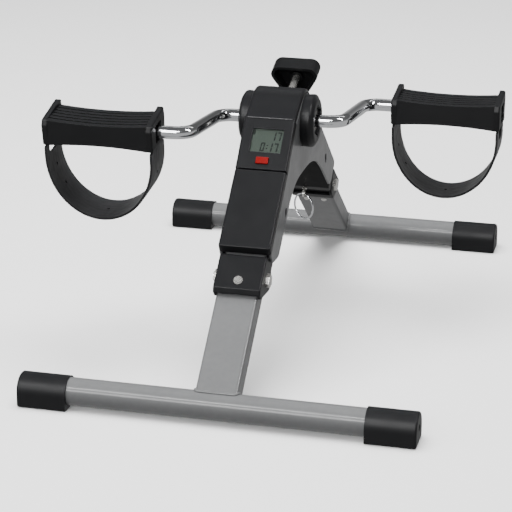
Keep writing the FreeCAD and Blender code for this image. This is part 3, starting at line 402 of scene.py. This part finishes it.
def smooth_turns(corners, steps=8):
    """Points round a closed outline of (x, y, radius) corners."""
    points = []
    count = len(corners)
    for index, (x, y, radius) in enumerate(corners):
        here = Vector((x, y))
        back = (Vector(corners[index - 1][:2]) - here).normalized()
        ahead = (Vector(corners[(index + 1) % count][:2]) - here).normalized()
        if radius <= 0:
            points.append(here)
            continue
        half = back.angle(ahead) / 2
        reach = radius / math.tan(half)
        centre = here + (back + ahead).normalized() * (radius / math.sin(half))
        start = here + back * reach - centre
        stop = here + ahead * reach - centre
        first = math.atan2(start.y, start.x)
        sweep = math.remainder(math.atan2(stop.y, stop.x) - first, 2 * math.pi)
        for step in range(steps + 1):
            turn = first + sweep * step / steps
            points.append(centre + radius * Vector((math.cos(turn), math.sin(turn))))
    return points


# ------------------------------------------------------------------ foot straps

# Middle line in mm: half the span, the spring of the curve, its depth and the tops of the arms.
STRAP_HALF = 50.25
STRAP_SPRING = -24.0
STRAP_DEPTH = 58.85
STRAP_TOP = -9.7
STRAP_THICK = 2.3
LINE_STEPS = 400

# Outline of the flat strap: half widths of the strap and of its tongues, and where the tongues begin.
STRAP_WIDE = 20.0
TONGUE_WIDE = 16.0
SHOULDER = -14.2
SHOULDER_RUN = 1.4

# Adjusting slot as (distance from the strap's end, y, corner radius), and the small round holes.
SLOT = [(4.6, -12.0, 1.2), (4.6, 8.0, 1.2), (14.9, 8.0, 5.4), (14.9, -12.0, 5.4)]
HOLE_TURNS = (-72, -50, 0, 50, 72)
HOLE_RADIUS = 1.6

# Spacing of the mesh's points, and the slight waviness of the moulding.
OUTLINE_SPACING = 2.2
SLOT_SPACING = 1.6
COLUMN_SPACING = 2.0
ROWS = 13
WAVE = 0.12


def strap_line():
    """Samples of the strap's middle line: (distance, x, z, normal x, normal z)."""
    points = [Vector((-STRAP_HALF, STRAP_TOP)), Vector((-STRAP_HALF, STRAP_SPRING))]
    for step in range(1, LINE_STEPS + 1):
        turn = math.pi + math.pi * step / LINE_STEPS
        points.append(Vector((STRAP_HALF * math.cos(turn), STRAP_SPRING + STRAP_DEPTH * math.sin(turn))))
    points.append(Vector((STRAP_HALF, STRAP_TOP)))
    samples = []
    run = 0.0
    for index, point in enumerate(points):
        if index:
            run += (point - points[index - 1]).length
        ahead = points[min(index + 1, len(points) - 1)]
        back = points[max(index - 1, 0)]
        along = (ahead - back).normalized()
        samples.append((run, point.x, point.y, -along.y, along.x))
    return samples


LINE = strap_line()
LENGTH = LINE[-1][0]


def on_line(distance):
    """Place and outward normal of the strap's middle line at a distance from its left end."""
    distance = min(max(distance, 0.0), LENGTH)
    low = 0
    high = len(LINE) - 1
    while high - low > 1:
        middle = (low + high) // 2
        if LINE[middle][0] > distance:
            high = middle
        else:
            low = middle
    a, b = LINE[low], LINE[high]
    part = (distance - a[0]) / max(b[0] - a[0], 1e-9)
    return [a[k] + part * (b[k] - a[k]) for k in range(1, 5)]


def distance_at(turn):
    """Distance along the line where a ray from the spring centre, turned from straight down, meets it."""
    target = math.radians(turn)
    best = min(LINE, key=lambda row: abs(math.atan2(row[1], STRAP_SPRING - row[2]) - target)
               if row[2] < STRAP_SPRING + 0.01 else 9.0)
    return best[0]


def strap_outline():
    """Outline of the flat strap: wide in the middle, with narrower tongues at both ends."""
    shoulder = STRAP_TOP - SHOULDER
    wide = shoulder + SHOULDER_RUN
    return smooth_turns([
        (0, -TONGUE_WIDE, 0.8), (shoulder, -TONGUE_WIDE, 0), (wide, -STRAP_WIDE, 1.0),
        (LENGTH - wide, -STRAP_WIDE, 1.0), (LENGTH - shoulder, -TONGUE_WIDE, 0), (LENGTH, -TONGUE_WIDE, 0.8),
        (LENGTH, TONGUE_WIDE, 0.8), (LENGTH - shoulder, TONGUE_WIDE, 0), (LENGTH - wide, STRAP_WIDE, 1.0),
        (wide, STRAP_WIDE, 1.0), (shoulder, TONGUE_WIDE, 0), (0, TONGUE_WIDE, 0.8)], 3)


def resampled(points, spacing):
    """A closed outline with its long runs divided."""
    made = []
    for index, point in enumerate(points):
        following = points[(index + 1) % len(points)]
        pieces = max(1, int((following - point).length / spacing))
        for step in range(pieces):
            made.append(point.lerp(following, step / pieces))
    return made


def inside(point, outline):
    """Whether a point lies inside a closed outline."""
    odd = False
    for index, here in enumerate(outline):
        last = outline[index - 1]
        if (here.y > point.y) != (last.y > point.y):
            cross = (last.x - here.x) * (point.y - here.y) / (last.y - here.y) + here.x
            if point.x < cross:
                odd = not odd
    return odd


def gap(point, outline):
    """Distance from a point to an outline's corners."""
    return min((point - corner).length for corner in outline)


def strap_openings(side):
    """Adjusting slot in the outer arm and the small holes along the strap."""
    slot = smooth_turns(SLOT, 6)
    if side > 0:
        slot = [Vector((LENGTH - point.x, point.y)) for point in slot]
    openings = [resampled(slot, SLOT_SPACING)]
    for turn in HOLE_TURNS:
        centre = Vector((distance_at(turn), 0.0))
        openings.append([centre + Vector((HOLE_RADIUS * cosine, HOLE_RADIUS * sine))
                         for cosine, sine in circle(16)])
    return openings


def flat_strap(openings):
    """Points and triangles of the flat strap, with its openings left out."""
    outline = resampled(strap_outline(), OUTLINE_SPACING)
    points = []
    edges = []
    for ring in [outline] + openings:
        first = len(points)
        points += ring
        edges += [(first + k, first + (k + 1) % len(ring)) for k in range(len(ring))]
    columns = int(LENGTH / COLUMN_SPACING)
    for column in range(1, columns):
        for row in range(1, ROWS):
            point = Vector((LENGTH * column / columns, -STRAP_WIDE + 2 * STRAP_WIDE * row / ROWS))
            if not inside(point, outline) or gap(point, outline) < 1.2:
                continue
            if all(not inside(point, ring) and gap(point, ring) > 0.9 for ring in openings):
                points.append(point)
    flat = geometry.delaunay_2d_cdt(points, edges, [], 1, 1e-5)
    triangles = []
    for triangle in flat[2]:
        middle = sum((flat[0][k] for k in triangle), Vector((0, 0))) / len(triangle)
        if not any(inside(middle, ring) for ring in openings):
            triangles.append(triangle)
    return flat[0], triangles


def strap(name, side, pitch, body):
    """Foot strap: a flat perforated strip, bent round its hanging line."""
    points, triangles = flat_strap(strap_openings(side))
    mesh = bmesh.new()
    sheets = []
    for hand in (-1, 1):
        sheet = []
        for point in points:
            x, z, normal_x, normal_z = on_line(point.x)
            wave = WAVE * noise.noise(Vector((point.x * 0.05, point.y * 0.06, side * 3.0)))
            lift = hand * STRAP_THICK / 2 + wave
            sheet.append(mesh.verts.new((x + normal_x * lift, point.y, z + normal_z * lift)))
        sheets.append(sheet)
    border = {}
    for triangle in triangles:
        mesh.faces.new([sheets[1][k] for k in triangle])
        mesh.faces.new([sheets[0][k] for k in reversed(triangle)])
        for a, b in zip(triangle, list(triangle[1:]) + [triangle[0]]):
            key = (min(a, b), max(a, b))
            border[key] = border.get(key, 0) + 1
    for (a, b), uses in border.items():
        if uses == 1:
            mesh.faces.new([sheets[0][a], sheets[0][b], sheets[1][b], sheets[1][a]])
    loose = [vertex for vertex in mesh.verts if not vertex.link_faces]
    bmesh.ops.delete(mesh, geom=loose, context="VERTS")
    piece = new_piece(name, mesh, pedal_frame(side, pitch), body, "strap_rubber")
    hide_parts(body.replace("pedal", "strap"))
    round_edges(piece, 0.45, 50.0)


strap("left_strap_strip", -1, LEFT_PITCH, "left_pedal")
strap("right_strap_strip", 1, RIGHT_PITCH, "right_pedal")


# ------------------------------------------------------------------ weld beads


BEAD_RADIUS = 1.5
BEAD_SPACING = 0.7
RIPPLE = 0.14
RAGGED = 0.12
FOOT_TUBE_RADIUS = 12.5
LEG_HALF_WIDTH = 19
LEG_HALF_DEPTH = 10


def bead(name, path, place, body):
    """A weld bead: a tube along a closed path, swollen into overlapping ripples."""
    mesh = bmesh.new()
    count = len(path)
    rings = []
    run = 0.0
    for index, point in enumerate(path):
        along = (path[(index + 1) % count] - path[index - 1]).normalized()
        if index:
            run += (point - path[index - 1]).length
        across = along.cross(Vector((0, 0, 1)))
        if across.length < 0.1:
            across = along.cross(Vector((0, 1, 0)))
        across.normalize()
        other = along.cross(across)
        ripple = RIPPLE * abs(math.sin(run * 1.9)) + RAGGED * noise.noise(point * 0.35)
        swell = BEAD_RADIUS * (1 + ripple)
        rings.append([mesh.verts.new(point + swell * (across * cosine + other * sine))
                      for cosine, sine in circle(8)])
    for index in range(count):
        bridge(mesh, rings[index], rings[(index + 1) % count])
    new_piece(name, mesh, place, body, "painted_steel")


def foot_bead(name, place, reach, body):
    """Bead round a leg tube where it meets its round foot tube."""
    wide = LEG_HALF_WIDTH
    deep = LEG_HALF_DEPTH
    outline = smooth_turns([(-wide, -deep, 3), (wide, -deep, 3), (wide, deep, 3), (-wide, deep, 3)], 5)
    path = []
    for point in resampled(outline, BEAD_SPACING):
        drop = math.sqrt(FOOT_TUBE_RADIUS ** 2 - point.y ** 2)
        path.append(Vector((point.x * 1.008, reach - math.copysign(drop + 0.2, reach), point.y * 1.02)))
    bead(name, path, place, body)


foot_bead("front_foot_weld", FRONT, -FRONT_REACH, "front_leg")
foot_bead("rear_foot_weld", REAR, REAR_REACH, "rear_leg")


# ------------------------------------------------------------------ display

SEAM_Y = 52.2
SEAM_Z = 0.05
SEAM_HALF = 22
SEAM_RADIUS = 0.62


def seam_ridge():
    """Half-round ridge moulded along the seam between the hood and the display face, in a lighter plastic
    that paints a highlight along it.
    """
    mesh = bmesh.new()
    rings = []
    for step in range(-SEAM_HALF, SEAM_HALF + 1):
        x = float(step)
        taper = min(1.0, 0.35 + (SEAM_HALF + 0.5 - abs(x)) / 2.5)
        swell = SEAM_RADIUS * taper + 0.03 * noise.noise(Vector((x * 0.6, 0, 4.0)))
        rings.append([mesh.verts.new((x, SEAM_Y + swell * cosine, SEAM_Z + swell * sine))
                      for cosine, sine in circle(12)])
    for a, b in zip(rings, rings[1:]):
        bridge(mesh, a, b)
    mesh.faces.new(rings[0][::-1])
    mesh.faces.new(rings[-1])
    new_piece("hood_seam_ridge", mesh, DISPLAY, "head", "cover_plastic", SEAM_HIGHLIGHT_PLASTIC)


seam_ridge()

# Lit segments: which ones make each sign, and the digits' size, stroke and slant in mm.
SEGMENTS = {"0": "abcdef", "1": "bc", "7": "abc", ":": ":"}
DIGIT_WIDTH = 4.0
DIGIT_RISE = 9.0
STROKE = 1.3
SLANT = 0.09

# Each row's base line, with the signs on it and their distance from the panel's left edge.
PANEL_LEFT = -13.5
DIGIT_ROWS = [(30.2, [("1", 17.6), ("7", 22.6)]),
              (18.9, [("0", 8.6), (":", 14.2), ("1", 15.9), ("7", 21.2)])]

# Ink lies just over the panel, under the window.
INK_BOTTOM = -1.59
DIGIT_TOP = -1.52
MASK_TOP = -1.50
MASK = [(-13.4, 35.2), (-11.7, 35.2), (-11.2, 36.0), (-11.2, 40.2), (-11.7, 41.0), (-13.4, 41.0)]


def segment_boxes(sign):
    """Opposite corners of a sign's lit segments, from its lower left corner."""
    half = DIGIT_RISE / 2
    right = DIGIT_WIDTH - STROKE
    if sign == ":":
        return [((0, base), (STROKE, base + STROKE)) for base in (DIGIT_RISE * 0.28, DIGIT_RISE * 0.64)]
    shapes = {
        "a": ((0.2, DIGIT_RISE - STROKE), (DIGIT_WIDTH - 0.2, DIGIT_RISE)),
        "d": ((0.2, 0), (DIGIT_WIDTH - 0.2, STROKE)),
        "f": ((0, half + 0.25), (STROKE, DIGIT_RISE - 0.3)),
        "b": ((right, half + 0.25), (DIGIT_WIDTH, DIGIT_RISE - 0.3)),
        "e": ((0, 0.3), (STROKE, half - 0.25)),
        "c": ((right, 0.3), (DIGIT_WIDTH, half - 0.25)),
    }
    return [shapes[letter] for letter in SEGMENTS[sign]]


def digits():
    """Lit segments between the panel and its window."""
    mesh = bmesh.new()
    for base, signs in DIGIT_ROWS:
        for sign, offset in signs:
            left = PANEL_LEFT + offset
            for (x_low, y_low), (x_high, y_high) in segment_boxes(sign):
                box = ((x_low, y_low), (x_high, y_low), (x_high, y_high), (x_low, y_high))
                prism(mesh, [(left + x + SLANT * y, base + y) for x, y in box], INK_BOTTOM, DIGIT_TOP)
    new_piece("lcd_digits", mesh, DISPLAY, "head", "lcd_face", INK, smooth=False)


def window_mask():
    """Dark notch in the window's upper left corner."""
    mesh = bmesh.new()
    prism(mesh, MASK, INK_BOTTOM, MASK_TOP)
    new_piece("window_mask", mesh, DISPLAY, "head", "cover_plastic", INK, smooth=False)


digits()
window_mask()


# ------------------------------------------------------------------ floor, light and camera


FLOOR_RADIUS = 3.2
CURVE_RADIUS = 1.6
CURVE_STEPS = 16
WALL_TOP = 4.5


def floor():
    """Plain pale floor, round and flat, that curves up into a backdrop far away on every side."""
    mesh = bmesh.new()
    profile = [(0.6, 0.0), (FLOOR_RADIUS, 0.0)]
    for step in range(1, CURVE_STEPS + 1):
        turn = math.radians(90 * step / CURVE_STEPS)
        profile.append((FLOOR_RADIUS + CURVE_RADIUS * math.sin(turn),
                        CURVE_RADIUS - CURVE_RADIUS * math.cos(turn)))
    profile.append((FLOOR_RADIUS + CURVE_RADIUS, WALL_TOP))
    rings = []
    for radius, height in profile:
        rings.append([mesh.verts.new((radius * cosine, radius * sine, height))
                      for cosine, sine in circle(64)])
    mesh.faces.new(rings[0])
    for inner, outer in zip(rings, rings[1:]):
        bridge(mesh, outer, inner)
    data = bpy.data.meshes.new("floor")
    mesh.to_mesh(data)
    mesh.free()
    item = bpy.data.objects.new("floor", data)
    bpy.context.scene.collection.objects.link(item)
    for face in data.polygons:
        face.use_smooth = True
    paper = Surface("floor_paper", (0.92, 0.92, 0.92), 0.7)
    paper.mottle(3, (0.90, 0.90, 0.90), 0.5)
    paper.bump(300, 0.02)
    data.materials.append(paper.material)
    item.visible_glossy = False
    item.visible_diffuse = False


def area_light(name, place, target, width, height, power, mirrored=True, fills=True):
    """A soft box aimed at a point: mirrored ones show in reflections, filling ones light matt surfaces."""
    lamp = bpy.data.lights.new(name, "AREA")
    lamp.shape = "RECTANGLE"
    lamp.size = width
    lamp.size_y = height
    lamp.energy = power
    item = bpy.data.objects.new(name, lamp)
    item.location = place
    item.rotation_euler = (Vector(target) - Vector(place)).to_track_quat("-Z", "Y").to_euler()
    item.visible_glossy = mirrored
    item.visible_diffuse = fills
    bpy.context.scene.collection.objects.link(item)


def world(low, middle, high):
    """Soft sky: grey levels below the horizon, a little above it and overhead."""
    sky = bpy.data.worlds.new("studio")
    bpy.context.scene.world = sky
    sky.use_nodes = True
    tree = sky.node_tree
    background = tree.nodes["Background"]
    place = tree.nodes.new("ShaderNodeTexCoord")
    split = tree.nodes.new("ShaderNodeSeparateXYZ")
    ramp = tree.nodes.new("ShaderNodeValToRGB")
    tree.links.new(place.outputs["Generated"], split.inputs["Vector"])
    tree.links.new(split.outputs["Z"], ramp.inputs["Fac"])
    tree.links.new(ramp.outputs["Color"], background.inputs["Color"])
    background.inputs["Strength"].default_value = 1.0
    stops = ramp.color_ramp.elements
    stops[0].position = 0.0
    stops[1].position = 0.9
    between = stops.new(0.3)
    for stop, level in ((stops[0], low), (between, middle), (stops[2], high)):
        stop.color = (level, level, level, 1)


floor()
world(0.50, 0.12, 0.14)
area_light("ceiling", (-0.1, 0.1, 2.3), (0, 0, 0), 2.2, 1.9, 160, mirrored=False)
area_light("left_box", (-1.5, -1.2, 1.3), (0, -0.1, 0.12), 0.4, 1.3, 14)
area_light("right_strip", (1.5, -0.1, 1.5), (0, 0, 0.12), 0.2, 1.2, 25, fills=False)
area_light("rear_strip", (0.1, 1.5, 1.9), (0, 0, 0.15), 2.4, 0.2, 4)
area_light("front_strip", (-0.3, -2.6, 1.3), (0, 0, 0.15), 1.8, 0.5, 46)
area_light("top_strip", (-0.2, -1.6, 1.6), (0, 0, 0.1), 2.4, 0.2, 45, fills=False)

CAMERA_PLACE = (0.4124, -1.7548, 0.7371)
CAMERA_DOWN = 20.46
CAMERA_TURN = 14.0

camera_data = bpy.data.cameras.new("camera")
camera_data.lens = 139.8
camera_data.sensor_width = 36.0
camera = bpy.data.objects.new("camera", camera_data)
camera.location = CAMERA_PLACE
camera.rotation_euler = (math.radians(90 - CAMERA_DOWN), 0, math.radians(CAMERA_TURN))
bpy.context.scene.collection.objects.link(camera)
bpy.context.scene.camera = camera


def plain(box):
    """A box as plain lists of numbers."""
    return [[float(value) for value in corner] for corner in box]
